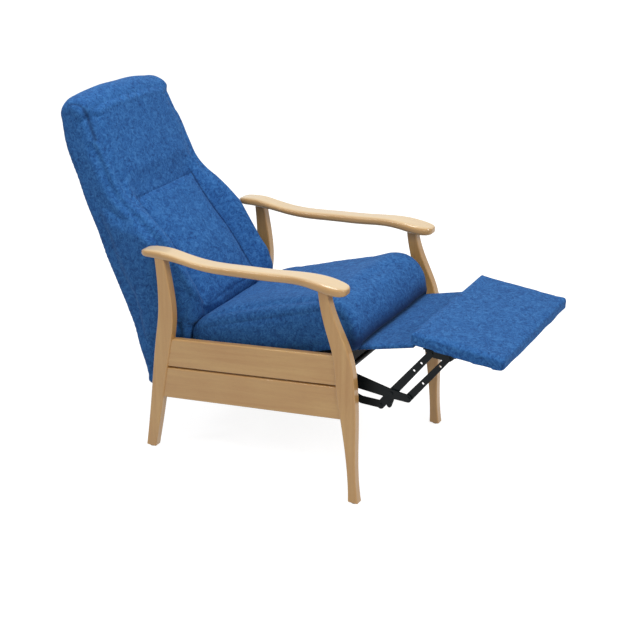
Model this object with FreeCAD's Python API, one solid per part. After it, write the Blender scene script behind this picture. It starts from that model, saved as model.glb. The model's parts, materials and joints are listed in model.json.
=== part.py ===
import FreeCAD, Part
import math
import os

os.makedirs("parts", exist_ok=True)
V = FreeCAD.Vector

# A reclining armchair, shown leaned back with its footrest out.
# Millimetres. The sitter faces -Y, +X is the sitter's left, the floor is z = 0.
# Side outlines are (y, z) points, with y measured from the middle of the four feet.
# Every shape is moved back by originShift when it is saved, so that the part's own
# origin is on the floor below the middle of its reclined length.
originShift = 49.5

# Wooden side frames
frameHalfWidth = 305.0
legThickness = 28.0
legRound = 3.5
legTenon = 14.0
frontLegDowelY = -262.0
rearLegDowelY = 306.0
glideRadius = 11.0
glideHeight = 5.0
glideChamfer = 1.2
railThickness = 22.0
railSetBack = 4.0
railRound = 5.0
railGap = 4.5
railOverrun = 60.0
upperRailHeight = 95.0
lowerRailHeight = 105.0
railTopRear = (268.5, 399.0)
railTopFront = (-291.5, 471.0)
crossRailThickness = 20.0
frontCrossRailY = -171.0
frontCrossRailBottom = 256.0
frontCrossRailTop = 318.0
rearCrossRailY = 306.0
rearCrossRailBottom = 212.0
rearCrossRailTop = 262.0
apronThickness = 1.6
apronReveal = 6.0
dowelRadius = 4.0
dowelLength = 36.0
upperDowelDrops = (25.0, 70.0)
lowerDowelDrops = (30.0, 75.0)
frontLegLean = 0.10
rearLegLean = 0.19
crossDowelLength = 32.0
crossDowelInset = 20.0

frontLegFront = [
    (-383.5, 0), (-371.5, 262), (-366.5, 382), (-350.5, 475), (-310.5, 565), (-291, 611), (-277, 700),
]
frontLegRear = [
    (-349.5, 0), (-322, 268), (-306.5, 367), (-294.5, 470), (-268.5, 556), (-256, 603), (-245, 700),
]
rearLegFront = [(348.5, 0), (309.5, 192), (289, 299), (268.5, 403), (260.5, 461), (263.5, 536), (291, 700)]
rearLegRear = [(383.5, 0), (349, 234), (324.5, 408), (316, 460), (311.5, 536), (323, 700)]

# Armrest stations from the front tip to the rear tip: y, reach inwards and outwards from the
# leg's outer face, underside z, top z, edge rounding
armrestStations = [
    (-335.0, 26.0, -8.0, 668.0, 680.0, 4.0),
    (-331.0, 37.0, 1.0, 664.0, 684.5, 7.0),
    (-321.0, 46.0, 9.0, 661.5, 687.5, 10.0),
    (-300.0, 54.0, 15.0, 661.0, 690.0, 12.0),
    (-265.0, 58.0, 16.0, 664.5, 694.0, 12.0),
    (-220.0, 55.0, 11.0, 669.0, 696.5, 11.0),
    (-160.0, 51.0, 4.0, 667.5, 694.0, 11.0),
    (-60.0, 50.0, 2.0, 657.0, 684.0, 11.0),
    (60.0, 51.0, 2.0, 648.5, 674.0, 11.0),
    (160.0, 54.0, 2.0, 646.5, 669.5, 11.0),
    (230.0, 55.5, 2.0, 653.0, 675.5, 11.0),
    (290.0, 55.0, 3.0, 656.0, 682.5, 11.0),
    (335.0, 53.0, 2.0, 655.0, 680.5, 11.0),
    (360.0, 48.0, -2.0, 654.5, 676.0, 9.0),
    (371.0, 39.0, -10.0, 657.0, 671.0, 6.0),
]

# Seat block, in its own slope: t runs back from the front bottom corner, w is the height
seatAngle = 18.0
seatCorner = (-335.0, 485.0)
seatSideGap = 41.0
seatCrown = 5.0
seatCrownFrom = 125.0
seatMiddle = 290.0
seatHalfLength = 330.0
seatRoundFrom = 20.0
seatRoundHeight = 100.0
seatFlatUnder = 2.0
seatShoulders = [(18.0, 1.5), (7.0, 5.0), (0.0, 14.0)]
seatOutline = [
    (4, 0), (296, 0), (588, 0), (583, 55), (571, 98), (565, 112), (551, 121),
    (495, 133.5), (420, 139), (255, 140.5), (88, 138), (46, 135), (16, 124),
    (-5, 104), (-15, 78), (-20, 46), (-16, 16), (-11, 5),
]
seatSidePadding = 20.0
seatRailWidth = 25.0
seatRailHeight = 40.0
seatRailFront = 24.0
seatRailRear = 570.0
webbingWidth = 60.0
webbingThickness = 2.0
webbingCount = 4
webbingInset = 2.0
dustCoverLap = 6.0
dustCoverInset = 3.0
dustCoverThickness = 0.8
softGap = 0.4

# Backrest slices: outline through the wing crest and outline through the channel between the wings
backOverSeat = 5.0
backTopTaper = 17.0
backTaperFrom = 450.0
backTaperTo = 1062.0
backRear = [
    (401, 194), (450, 363), (489, 463), (533, 554), (575, 649), (624, 765), (675, 892), (697, 965),
    (703, 1020),
]
backTop = [(700, 1060), (684, 1075), (658, 1080), (632, 1073), (615, 1060)]
headFront = [(610, 1036), (592, 990), (572, 941), (550, 893), (528, 850)]
wingFront = [
    (512, 822), (493, 797), (467, 777), (434, 757), (389, 722), (342, 680), (297, 612),
    (259, 556), (230, 508), (222, 478), (221, 458), (227, 441), (237, 429), (241, 400),
]
channelFront = [
    (513, 808), (498, 765), (462, 722), (425, 678), (404, 655), (382, 630), (345, 588),
    (306, 535), (290, 511), (274, 489), (258, 468), (246, 448), (243, 428), (243, 400),
]
backLower = [(250, 372), (258, 349), (300, 325), (342, 300), (346, 254), (350, 207), (375, 200)]
channelHalfWidth = 160.0
headCrown = 8.0
backTopSplit = 655.0
headTop = 1000.0
# Rounded sides: distance in from the side, rear inset, front inset, head crown, drop of the top edge
wingShoulders = [
    (33.0, 0.0, 0.0, 3.0, 6.0), (23.0, 0.0, 3.0, 3.0, 9.0), (13.0, 1.0, 11.0, 1.5, 12.0),
    (5.0, 3.0, 25.0, 0.0, 16.0), (0.0, 8.0, 44.0, 0.0, 22.0),
]
shoulderShare = 0.5
shoulderBottom = 372.0
shoulderRise = 150.0
wingStart = 200.0
wingMiddle = 178.0
rearPanelThickness = 5.0
rearPanelPocket = 3.0
rearPanelInset = 20.0
rearPanelBottom = 225.0
rearPanelTop = 1000.0
lumbarCrown = 30.0
lumbarEdge = 7.0
lumbarLean = 40.0
lumbarSideGap = 5.0
lumbarShoulder = 14.0
backPostBottom = 215.0
backPostTop = 1015.0
backPostWidth = 25.0
backPostDepth = 30.0
backPostFoam = 16.0
backRailHeight = 40.0
backRailDepth = 22.0
backRailHeights = (217.0, 640.0, 975.0)

# Tilting of the seat unit on the side frames
tiltPivot = (244.5, 330.0)
tiltPinRadius = 6.0
tiltPlateThickness = 4.0
sidePlateFront = 430.0
sidePlateLow = 330.0
sidePlateHigh = 400.0
tiltBracketThickness = 4.0
tiltBracketRadius = 26.0
tiltBossLength = 8.0
tiltBossWall = 4.0
tiltPinGap = 0.5
runningFit = 0.05
bufferRadius = 10.0
bufferX = 150.0
bufferGap = 1.0
uprightTilt = 11.5

# Footrest linkage, side outlines when extended
linkThickness = 4.0
linkSpacing = 0.5
linkInset = 2.0
armPivot = (-250.0, 410.0)
armKnee = (-455.3, 364.5)
armTip = (-508.3, 361.5)
armBelly = (-345.0, 379.0)
armBellyRadius = 22.0
armPivotEnd = 15.0
armKneeEnd = 14.5
armTipEnd = 12.0
controlBends = [(-300.0, 335.0), (-356.0, 317.0)]
controlEnd = 12.0
frontKneeEnd = 13.0
padPivotEnd = 10.0
outerLinkEnd = 11.5
outerPadEnd = 8.5
stopLugEnd = 7.5
linkHoleRadius = 4.0
frontLinkHoles = (0.57, 0.75)
outerLinkHoles = (0.37, 0.79)
controlKneeOffset = (35.0, -47.0)
stopLugOffset = (9.0, -43.0)
padPivot = (-576.0, 520.0)
armFold = 74.0
frontLinkFold = -8.0
flapFold = -72.0
linkPinRadius = 5.0
controlPinRadius = 4.0
pinHead = 2.4
pinHeadRim = 1.6
torqueTubeRadius = 8.0
torqueTubeWall = 1.5
torqueTubeShare = 0.22
torqueTubeDrop = 8.0
openPivotSlack = 1.9
parallelPivotSlack = 0.5
plateThickness = 3.0
mechanismFront = 44.0
mechanismRear = 180.0

# Footrest pad and the flap that bridges it to the seat
padSideGap = 25.0
padLength = 281.0
padThickness = 35.5
padAngle = 4.4
padInnerEdge = (-516.5, 572.0)
padCrown = 3.0
padEdgeCrown = 1.0
padEdgeRound = 4.0
padBoardThickness = 12.0
padBoardInset = 9.0
padBracketThickness = 3.0
padBracketFrom = 40.0
padBracketTo = 140.0
padBracketInset = 3.0
flapSideGap = 8.0
flapLength = 199.0
flapThickness = 12.0
flapAngle = 14.9
flapBoardThickness = 5.0
flapBoardInset = 4.0
hingeBarrelRadius = 4.0
hingePinRadius = 1.8
hingeLeaf = 1.6
hingeLeafWidth = 36.0
hingeInset = 30.0
hingeKnuckles = 9
hingeEndGap = 0.3
hingeClearance = 0.5
padLeafFrom = 8.0
padLeafTo = 40.0
padLeafDrop = 11.6
padLeafThickness = 2.8
flapHinge = (-523.1, 523.2)
flapStart = 8.0
flapRise = 7.0
flapEdgeRound = 2.5

# Worked out from the sizes above
legInner = frameHalfWidth - legThickness
railOuter = frameHalfWidth - railSetBack
railInner = railOuter - railThickness
seatHalfWidth = railInner - seatSideGap
seatFrameHalfWidth = seatHalfWidth - seatSidePadding
backHalfWidth = seatHalfWidth + backOverSeat
backTopHalfWidth = backHalfWidth - backTopTaper
innerLinkX = seatHalfWidth - linkInset
padHalfWidth = legInner - padSideGap
flapHalfWidth = innerLinkX - flapSideGap
outerLinkX = innerLinkX + linkThickness + linkSpacing
controlLinkX = innerLinkX - linkSpacing - linkThickness
plateX = outerLinkX + linkThickness + linkSpacing
seatSlope = math.radians(seatAngle)
padSlope = math.radians(padAngle)
flapSlope = math.radians(flapAngle)

saved = {}


def save(name, shape):
    """Move a finished shape to the part's origin and write it."""
    placed = shape.copy()
    placed.translate(V(0, originShift, 0))
    placed.exportStep("parts/" + name + ".step")
    saved[name] = placed


def mirrored(shape):
    """The same piece for the other side of the chair."""
    return shape.mirror(V(0, 0, 0), V(1, 0, 0))


def savePair(name, leftShape):
    """Save a piece made on the sitter's left and its mirror image on the right."""
    save(name + "_left", leftShape)
    save(name + "_right", mirrored(leftShape))


def at(x, point):
    """A (y, z) outline point at a distance x from the middle."""
    return V(x, point[0], point[1])


def turned(point, degrees, centre=(0.0, 0.0)):
    """A (y, z) point turned about +X round a centre."""
    angle = math.radians(degrees)
    dy = point[0] - centre[0]
    dz = point[1] - centre[1]
    return (
        centre[0] + dy * math.cos(angle) - dz * math.sin(angle),
        centre[1] + dy * math.sin(angle) + dz * math.cos(angle),
    )


def moved(point, offset):
    return (point[0] + offset[0], point[1] + offset[1])


def between(a, b, share):
    return (a[0] + (b[0] - a[0]) * share, a[1] + (b[1] - a[1]) * share)


def circleCentre(a, b, c):
    """Centre of the circle through three (y, z) points."""
    d = 2 * (a[0] * (b[1] - c[1]) + b[0] * (c[1] - a[1]) + c[0] * (a[1] - b[1]))
    sa = a[0] ** 2 + a[1] ** 2
    sb = b[0] ** 2 + b[1] ** 2
    sc = c[0] ** 2 + c[1] ** 2
    y = (sa * (b[1] - c[1]) + sb * (c[1] - a[1]) + sc * (a[1] - b[1])) / d
    z = (sa * (c[0] - b[0]) + sb * (a[0] - c[0]) + sc * (b[0] - a[0])) / d
    return (y, z)


def directionTo(a, b):
    """Angle of the line from a to b, in degrees, counted like a turn about +X."""
    return math.degrees(math.atan2(b[1] - a[1], b[0] - a[0]))


def polygonPlate(points, x0, x1):
    """A flat outline of straight edges, from x0 to x1."""
    corners = [at(x0, p) for p in points]
    wire = Part.makePolygon(corners + [corners[0]])
    return Part.Face(wire).extrude(V(x1 - x0, 0, 0))


def rod(x0, x1, centre, radius):
    """A round bar along X."""
    return Part.makeCylinder(radius, x1 - x0, at(x0, centre), V(1, 0, 0))


def capsule(a, ra, b, rb, x0, x1):
    """A flat bar with round ends of two radii."""
    ends = rod(x0, x1, a, ra).fuse(rod(x0, x1, b, rb))
    dy = b[0] - a[0]
    dz = b[1] - a[1]
    length = math.hypot(dy, dz)
    lean = math.asin((ra - rb) / length)
    along = math.atan2(dz, dy)
    corners = []
    for side in (1, -1):
        angle = along + side * (math.pi / 2 - lean)
        corners.append((a[0] + ra * math.cos(angle), a[1] + ra * math.sin(angle)))
        corners.append((b[0] + rb * math.cos(angle), b[1] + rb * math.sin(angle)))
    body = polygonPlate([corners[0], corners[1], corners[3], corners[2]], x0, x1)
    return ends.fuse(body)


def linkBar(stations, x0, x1):
    """A flat steel bar through round stations of (point, radius)."""
    bar = None
    for (a, ra), (b, rb) in zip(stations, stations[1:]):
        piece = capsule(a, ra, b, rb, x0, x1)
        bar = piece if bar is None else bar.fuse(piece)
    return bar.removeSplitter()


def seatPoint(t, w):
    """A point of the seat's own slope as (y, z)."""
    return (
        seatCorner[0] + t * math.cos(seatSlope) + w * math.sin(seatSlope),
        seatCorner[1] - t * math.sin(seatSlope) + w * math.cos(seatSlope),
    )


def padPoint(t, depth):
    """A point of the footrest pad: t runs outwards from its inner top edge."""
    return (
        padInnerEdge[0] - t * math.cos(padSlope) + depth * math.sin(padSlope),
        padInnerEdge[1] - t * math.sin(padSlope) - depth * math.cos(padSlope),
    )


def flapPoint(t, height):
    """A point of the flap: t runs from the hinge to the seat, height is above the hinge."""
    return (
        flapHinge[0] + t * math.cos(flapSlope) + height * math.sin(flapSlope),
        flapHinge[1] - t * math.sin(flapSlope) + height * math.cos(flapSlope),
    )


def slab(pointAt, t0, t1, h0, h1, x0, x1):
    """A box in one of the sloping frames."""
    corners = [pointAt(t0, h0), pointAt(t1, h0), pointAt(t1, h1), pointAt(t0, h1)]
    return polygonPlate(corners, x0, x1)


def arcOrLine(a, middle, b):
    """An arc through three points, or a line where they are straight."""
    bend = (middle - a).cross(b - middle).Length
    if bend < 0.02 * a.distanceToPoint(b):
        return Part.LineSegment(a, b).toShape()
    return Part.Arc(a, middle, b).toShape()


def arcWire(points):
    """A closed wire of arcs, each through a start, a middle and an end point."""
    edges = []
    for i in range(0, len(points), 2):
        edges.append(arcOrLine(points[i], points[i + 1], points[(i + 2) % len(points)]))
    return Part.Wire(edges)


def legSolid(front, rear, bottom, top):
    """A curved leg between its front and rear outlines."""
    frontCurve = Part.BSplineCurve()
    frontCurve.interpolate([at(legInner, p) for p in front])
    rearCurve = Part.BSplineCurve()
    rearCurve.interpolate([at(legInner, p) for p in rear])
    edges = [
        frontCurve.toShape(),
        Part.LineSegment(at(legInner, front[-1]), at(legInner, rear[-1])).toShape(),
        rearCurve.toShape(),
        Part.LineSegment(at(legInner, rear[0]), at(legInner, front[0])).toShape(),
    ]
    wire = Part.Wire(Part.__sortEdges__(edges))
    blank = Part.Face(wire).extrude(V(legThickness, 0, 0))
    box = blank.BoundBox
    corner = V(box.XMin - 1, box.YMin - 1, bottom)
    leg = blank.common(Part.makeBox(box.XLength + 2, box.YLength + 2, top - bottom, corner))
    long = [e for e in leg.Edges if e.BoundBox.ZLength > 0.8 * (top - bottom)]
    return leg.makeFillet(legRound, long)


def armrestSection(station):
    """A rounded rectangle across the armrest."""
    y, inwards, outwards, low, high, r = station
    inner = frameHalfWidth - inwards
    outer = frameHalfWidth + outwards
    k = r * (1 - math.sqrt(0.5))
    pts = [
        V(inner + r, y, low), V((inner + outer) / 2, y, low), V(outer - r, y, low),
        V(outer - k, y, low + k), V(outer, y, low + r), V(outer, y, (low + high) / 2),
        V(outer, y, high - r), V(outer - k, y, high - k), V(outer - r, y, high),
        V((inner + outer) / 2, y, high), V(inner + r, y, high), V(inner + k, y, high - k),
        V(inner, y, high - r), V(inner, y, (low + high) / 2), V(inner, y, low + r),
        V(inner + k, y, low + k),
    ]
    return arcWire(pts)


def armrestUnder(y):
    """Height of the armrest's underside at a place along it."""
    for a, b in zip(armrestStations, armrestStations[1:]):
        if a[0] <= y <= b[0]:
            return a[3] + (b[3] - a[3]) * (y - a[0]) / (b[0] - a[0])
    return armrestStations[-1][3]


def railLine(drop):
    """A line parallel to the side rail's top edge, as its rear and front ends."""
    slope = (railTopFront[1] - railTopRear[1]) / (railTopFront[0] - railTopRear[0])
    rear = (railTopRear[0] + railOverrun, railTopRear[1] + railOverrun * slope - drop)
    front = (railTopFront[0] - railOverrun, railTopFront[1] - railOverrun * slope - drop)
    return rear, front


def sideRail(dropTop, dropBottom):
    """One board of the side, long enough to be trimmed by both legs."""
    topRear, topFront = railLine(dropTop)
    lowRear, lowFront = railLine(dropBottom)
    board = polygonPlate([topRear, topFront, lowFront, lowRear], railInner, railOuter)
    long = [e for e in board.Edges if e.BoundBox.YLength > railTopRear[0] - railTopFront[0]]
    return board.makeFillet(railRound, long)


def buildFrame():
    """Legs, armrests, rails and the small parts that join them."""
    armrest = Part.makeLoft([armrestSection(s) for s in armrestStations], True, False)
    frontTop = armrestUnder(frontLegDowelY) + legTenon
    rearTop = armrestUnder(rearLegDowelY) + legTenon
    frontLeg = legSolid(frontLegFront, frontLegRear, glideHeight, frontTop)
    rearLeg = legSolid(rearLegFront, rearLegRear, glideHeight, rearTop)

    lowerTop = upperRailHeight + railGap
    upperRail = sideRail(0, upperRailHeight).cut(frontLeg).cut(rearLeg)
    lowerRail = sideRail(lowerTop, lowerTop + lowerRailHeight).cut(frontLeg).cut(rearLeg)
    upperRail = sorted(upperRail.Solids, key=lambda s: s.Volume)[-1]
    lowerRail = sorted(lowerRail.Solids, key=lambda s: s.Volume)[-1]

    dowels = []
    middleX = (railInner + railOuter) / 2
    slope = (railTopFront[1] - railTopRear[1]) / (railTopFront[0] - railTopRear[0])
    along = V(0, 1, slope)
    along.normalize()
    for drop in upperDowelDrops + tuple(lowerTop + d for d in lowerDowelDrops):
        rearEnd = moved(railTopRear, (rearLegLean * drop, -drop))
        frontEnd = moved(railTopFront, (-frontLegLean * drop, -drop))
        for point in (rearEnd, frontEnd):
            start = at(middleX, point) - along * (dowelLength / 2)
            dowels.append(Part.makeCylinder(dowelRadius, dowelLength, start, along))
    crossRails = []
    for y, low, high in (
        (frontCrossRailY, frontCrossRailBottom, frontCrossRailTop),
        (rearCrossRailY, rearCrossRailBottom, rearCrossRailTop),
    ):
        isFront = y < 0
        reach = railInner if isFront else legInner
        rail = Part.makeBox(2 * reach, crossRailThickness, high - low, V(-reach, y, low))
        crossRails.append(rail)
        for share in (0.28, 0.72):
            z = low + share * (high - low)
            start = V(reach - crossDowelInset, y + crossRailThickness / 2, z)
            dowels.append(Part.makeCylinder(dowelRadius, crossDowelLength, start, V(1, 0, 0)))
    for y in (frontLegDowelY, rearLegDowelY):
        foot = V(frameHalfWidth - legThickness / 2, y, armrestUnder(y) - dowelLength / 2)
        dowels.append(Part.makeCylinder(dowelRadius, dowelLength, foot, V(0, 0, 1)))
    leftDowels = Part.makeCompound(dowels)
    allDowels = Part.makeCompound(dowels + [mirrored(d) for d in dowels])

    savePair("armrest", armrest.cut(leftDowels))
    savePair("front_leg", frontLeg.cut(armrest).cut(leftDowels))
    savePair("rear_leg", rearLeg.cut(armrest).cut(leftDowels))
    savePair("upper_side_rail", upperRail.cut(leftDowels))
    savePair("lower_side_rail", lowerRail.cut(leftDowels))
    save("front_cross_rail", crossRails[0].cut(allDowels))
    save("rear_cross_rail", crossRails[1].cut(allDowels))
    save("frame_dowels", allDowels)

    apron = Part.makeBox(
        2 * railInner - 2, apronThickness, frontCrossRailTop - frontCrossRailBottom - apronReveal,
        V(-railInner + 1, frontCrossRailY - apronThickness, frontCrossRailBottom + apronReveal))
    save("front_apron", apron)

    glides = []
    for outline in ((frontLegFront, frontLegRear), (rearLegFront, rearLegRear)):
        y = (outline[0][0][0] + outline[1][0][0]) / 2
        for side in (-1, 1):
            x = side * (frameHalfWidth - legThickness / 2)
            disc = Part.makeCylinder(glideRadius, glideHeight, V(x, y, 0))
            lowEdge = [e for e in disc.Edges if e.BoundBox.ZMax < glideHeight / 2]
            glides.append(disc.makeChamfer(glideChamfer, lowEdge))
    save("floor_glides", Part.makeCompound(glides))

    # Steel brackets on the upper side rails that carry the tilting seat unit
    bracketX = railInner - tiltBracketThickness
    bossX = bracketX - tiltBossLength
    bracket = rod(bracketX, railInner, tiltPivot, tiltBracketRadius)
    bracket = bracket.fuse(rod(bossX, bracketX, tiltPivot, tiltPinRadius + tiltBossWall))
    bracket = bracket.cut(rod(bossX, railInner, tiltPivot, tiltPinRadius + runningFit))
    savePair("tilt_bracket", bracket)

    # Rubber buffers: the back frame leans on the rear pair, the seat sinks onto the front pair
    rearBuffers = []
    frontBuffers = []
    bufferFront = rearCrossRailY + crossRailThickness
    bufferZ = (rearCrossRailBottom + rearCrossRailTop) / 2
    reach = backStopY(bufferZ + bufferRadius) - bufferFront - softGap
    frontY = frontCrossRailY + crossRailThickness / 2
    for x in (-bufferX, bufferX):
        rearBuffers.append(Part.makeCylinder(bufferRadius, reach, V(x, bufferFront, bufferZ), V(0, 1, 0)))
        foot = V(x, frontY, frontCrossRailTop)
        frontBuffers.append(Part.makeCylinder(bufferRadius - 1, frontBufferHeight(), foot))
    save("stop_buffers", Part.makeCompound(rearBuffers + frontBuffers))


def backStopY(z):
    """The back's front face below the seat, at a height."""
    (y0, z0), (y1, z1) = backLower[4], backLower[5]
    return y0 + (y1 - y0) * (z - z0) / (z1 - z0)


def frontBufferHeight():
    """Height that just meets the seat frame's underside when the seat is upright."""
    y = frontCrossRailY + crossRailThickness / 2
    front = turned(seatPoint(0, 0), uprightTilt, tiltPivot)
    rear = turned(seatPoint(seatRailRear, 0), uprightTilt, tiltPivot)
    share = (y - front[0]) / (rear[0] - front[0])
    under = front[1] + share * (rear[1] - front[1])
    return under - plateThickness - bufferGap - frontCrossRailTop


def seatSlice(x, inset, crown):
    """The seat's side outline at x, drawn in by inset and raised by crown."""
    pts = []
    for t, w in seatOutline:
        top = max(0.0, min(1.0, (w - seatRoundFrom) / seatRoundHeight))
        share = max(0.0, 1 - ((t - seatMiddle) / seatHalfLength) ** 2)
        newW = w - inset * top
        if w > seatCrownFrom:
            newW += crown * share
        frontPull, rearPull = (0.8, 0.48) if w > seatFlatUnder else (0.35, 0.35)
        newT = t + frontPull * inset if t < seatMiddle else t - rearPull * inset
        pts.append(at(x, seatPoint(newT, newW)))
    return arcWire(pts)


def mirroredSlices(slices):
    """Slice settings for x > 0 repeated for x < 0, in rising order of x."""
    low = [(-s[0],) + tuple(s[1:]) for s in reversed(slices) if s[0] > 0]
    return low + list(slices)


def buildSeat():
    """Seat frame, webbing, cushion and the steel plates on it."""
    settings = [(0.0, 0.0, seatCrown)]
    settings.append((0.46 * seatHalfWidth, 0.0, 0.8 * seatCrown))
    settings.append((0.82 * seatHalfWidth, 0.0, 0.3 * seatCrown))
    settings += [(seatHalfWidth - side, inset, 0.0) for side, inset in seatShoulders]
    cushion = Part.makeLoft([seatSlice(*s) for s in mirroredSlices(settings)], True, False)
    recessX = seatFrameHalfWidth + tiltPlateThickness + softGap
    recess = slab(
        seatPoint, seatRailFront - softGap, seatRailRear + seatRailHeight, -seatRailHeight,
        seatRailHeight + webbingThickness + softGap, -recessX, recessX)
    innerX = seatFrameHalfWidth - seatRailWidth
    rail = slab(seatPoint, seatRailFront, seatRailRear, 0, seatRailHeight, innerX, seatFrameHalfWidth)
    savePair("seat_side_rail", rail)
    crossRails = []
    for t in (seatRailFront, seatRailRear - seatRailWidth):
        crossRails.append(slab(seatPoint, t, t + seatRailWidth, 0, seatRailHeight, -innerX, innerX))
    save("seat_cross_rails", Part.makeCompound(crossRails))
    bands = []
    pitch = 2 * innerX / webbingCount
    for i in range(webbingCount):
        x = -innerX + pitch * (i + 0.5)
        bands.append(slab(
            seatPoint, seatRailFront + webbingInset, seatRailRear - webbingInset,
            seatRailHeight, seatRailHeight + webbingThickness, x - webbingWidth / 2, x + webbingWidth / 2))
    save("seat_webbing", Part.makeCompound(bands))
    save("seat_dust_cover", slab(
        seatPoint, seatRailFront + dustCoverInset, seatRailRear - dustCoverInset, -dustCoverThickness, 0,
        -innerX - dustCoverLap, innerX + dustCoverLap))

    # Steel side plates that tie the back to the seat and carry the tilt pins
    plateOutline = [
        seatPoint(sidePlateFront, 6), seatPoint(seatRailRear - 6, 2), moved(tiltPivot, (-8, -20)),
        moved(tiltPivot, (22, -14)), (backSpineY(sidePlateLow) - 3, sidePlateLow),
        (backSpineY(sidePlateHigh) - 3, sidePlateHigh),
        (backSpineY(sidePlateHigh) - backPostDepth + 1, sidePlateHigh), moved(tiltPivot, (30, 30)),
        moved(tiltPivot, (-12, 22)), seatPoint(sidePlateFront, seatRailHeight - 6),
    ]
    pocket = polygonPlate(plateOutline, seatFrameHalfWidth, seatFrameHalfWidth + tiltPlateThickness + softGap)
    save("seat_cushion", cushion.cut(recess).cut(pocket).cut(mirrored(pocket)))
    plate = polygonPlate(plateOutline, seatFrameHalfWidth, seatFrameHalfWidth + tiltPlateThickness)
    hole = rod(seatFrameHalfWidth, seatFrameHalfWidth + tiltPlateThickness, tiltPivot, tiltPinRadius)
    savePair("back_side_plate", plate.cut(hole))
    pin = rod(seatFrameHalfWidth, railInner - tiltPinGap, tiltPivot, tiltPinRadius)
    save("tilt_pins", Part.makeCompound([pin, mirrored(pin)]))
    return plateOutline


def backSpineY(z):
    """The back posts' rear face at a height, a set depth inside the rear outline."""
    for (y0, z0), (y1, z1) in zip(backRear, backRear[1:]):
        if z0 <= z <= z1:
            return y0 + (y1 - y0) * (z - z0) / (z1 - z0) - backPostFoam
    return backRear[-1][0] - backPostFoam


def backSlice(x, front, rearInset, frontInset, crown, drop):
    """One slice of the backrest, leaning in as the back narrows upwards."""
    pts = []
    outline = [(p, "rear") for p in backRear]
    outline += [(p, "top") for p in backTop]
    outline += [(p, "head") for p in headFront]
    outline += [(p, "front") for p in front]
    outline += [(p, "lower") for p in backLower]
    for (y, z), kind in outline:
        inset = min(frontInset, shoulderShare * (backSpineY(z) + backPostFoam - y))
        if kind == "rear":
            y -= rearInset
        if kind == "top":
            z += 1.4 * crown - drop
            y += 0.35 * frontInset if y < backTopSplit else -0.35 * rearInset
        if kind == "head":
            y += inset - crown
            z -= 0.5 * drop if z > headTop else 0.0
        if kind == "front":
            y += inset * max(0.0, min(1.0, (z - shoulderBottom) / shoulderRise))
        share = (z - backTaperFrom) / (backTaperTo - backTaperFrom)
        narrow = 1 - share * (1 - backTopHalfWidth / backHalfWidth)
        pts.append(V(x * narrow, y, z))
    return arcWire(pts)


def buildBack(plateOutline):
    """Back frame, the padded back with its two wings, the lumbar pad and the rear panel."""
    mix = [between(a, b, 0.45) for a, b in zip(wingFront, channelFront)]
    settings = [
        (0.0, channelFront, 0.0, 0.0, headCrown, 0.0),
        (0.56 * channelHalfWidth, channelFront, 0.0, 0.0, 0.8 * headCrown, 0.0),
        (channelHalfWidth - 4, channelFront, 0.0, 0.0, 0.5 * headCrown, 2.0),
        (wingMiddle, mix, 0.0, 0.0, 3.0, 3.0),
        (wingStart, wingFront, 0.0, 0.0, 3.0, 5.0),
    ]
    settings += [(backHalfWidth - shoulder[0], wingFront) + shoulder[1:] for shoulder in wingShoulders]
    slices = [backSlice(*s) for s in mirroredSlices(settings)]
    body = Part.makeLoft(slices, True, False)

    x1 = seatFrameHalfWidth
    x0 = x1 - backPostWidth
    heights = [backPostBottom] + [z for _, z in backRear if backPostBottom < z < backPostTop] + [backPostTop]
    rearLine = [(backSpineY(z), z) for z in heights]
    frontLine = [(backSpineY(z) - backPostDepth, z) for z in reversed(heights)]
    post = polygonPlate(rearLine + frontLine, x0, x1)
    savePair("back_post", post)
    railParts = []
    for z in backRailHeights:
        depth = backPostDepth if z == backRailHeights[0] else backRailDepth
        outline = [
            (backSpineY(z), z), (backSpineY(z + backRailHeight), z + backRailHeight),
            (backSpineY(z + backRailHeight) - depth, z + backRailHeight), (backSpineY(z) - depth, z),
        ]
        railParts.append(polygonPlate(outline, -x0, x0))
    save("back_cross_rails", Part.makeCompound(railParts))

    inner = [z for _, z in backRear if rearPanelBottom < z < rearPanelTop]
    panelHeights = [rearPanelBottom] + inner + [rearPanelTop]
    rearFace = [(backSpineY(z) + backPostFoam, z) for z in panelHeights]
    innerFace = [(y - rearPanelThickness, z) for y, z in reversed(rearFace)]
    outerFace = [(y + rearPanelPocket, z) for y, z in rearFace]
    panelX = backTopHalfWidth - rearPanelInset
    pocket = polygonPlate(outerFace + innerFace, -panelX, panelX)
    panel = polygonPlate(rearFace + innerFace, -panelX + softGap, panelX - softGap)
    save("back_rear_panel", panel)

    hollow = polygonPlate(plateOutline, x1, x1 + tiltPlateThickness + softGap)
    cutters = [post, mirrored(post), pocket, hollow, mirrored(hollow)] + railParts
    cushion = body
    for cutter in cutters:
        cushion = cushion.cut(cutter)
    cushion = sorted(cushion.Solids, key=lambda s: s.Volume)[-1]
    save("back_cushion", cushion)

    # Padded lumbar section between the wings
    floor = channelFront[1:12]
    slices = []
    for x, thick in mirroredSlices([
        (0.0, lumbarCrown), (0.44 * channelHalfWidth, 0.92 * lumbarCrown),
        (0.78 * channelHalfWidth, 0.66 * lumbarCrown),
        (channelHalfWidth - lumbarShoulder, 0.4 * lumbarCrown),
        (channelHalfWidth - lumbarSideGap, lumbarEdge),
    ]):
        slices.append(lumbarSlice(x, floor, thick))
    lumbar = Part.makeLoft(slices, True, False)
    save("lumbar_cushion", lumbar.cut(cushion))


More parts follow.
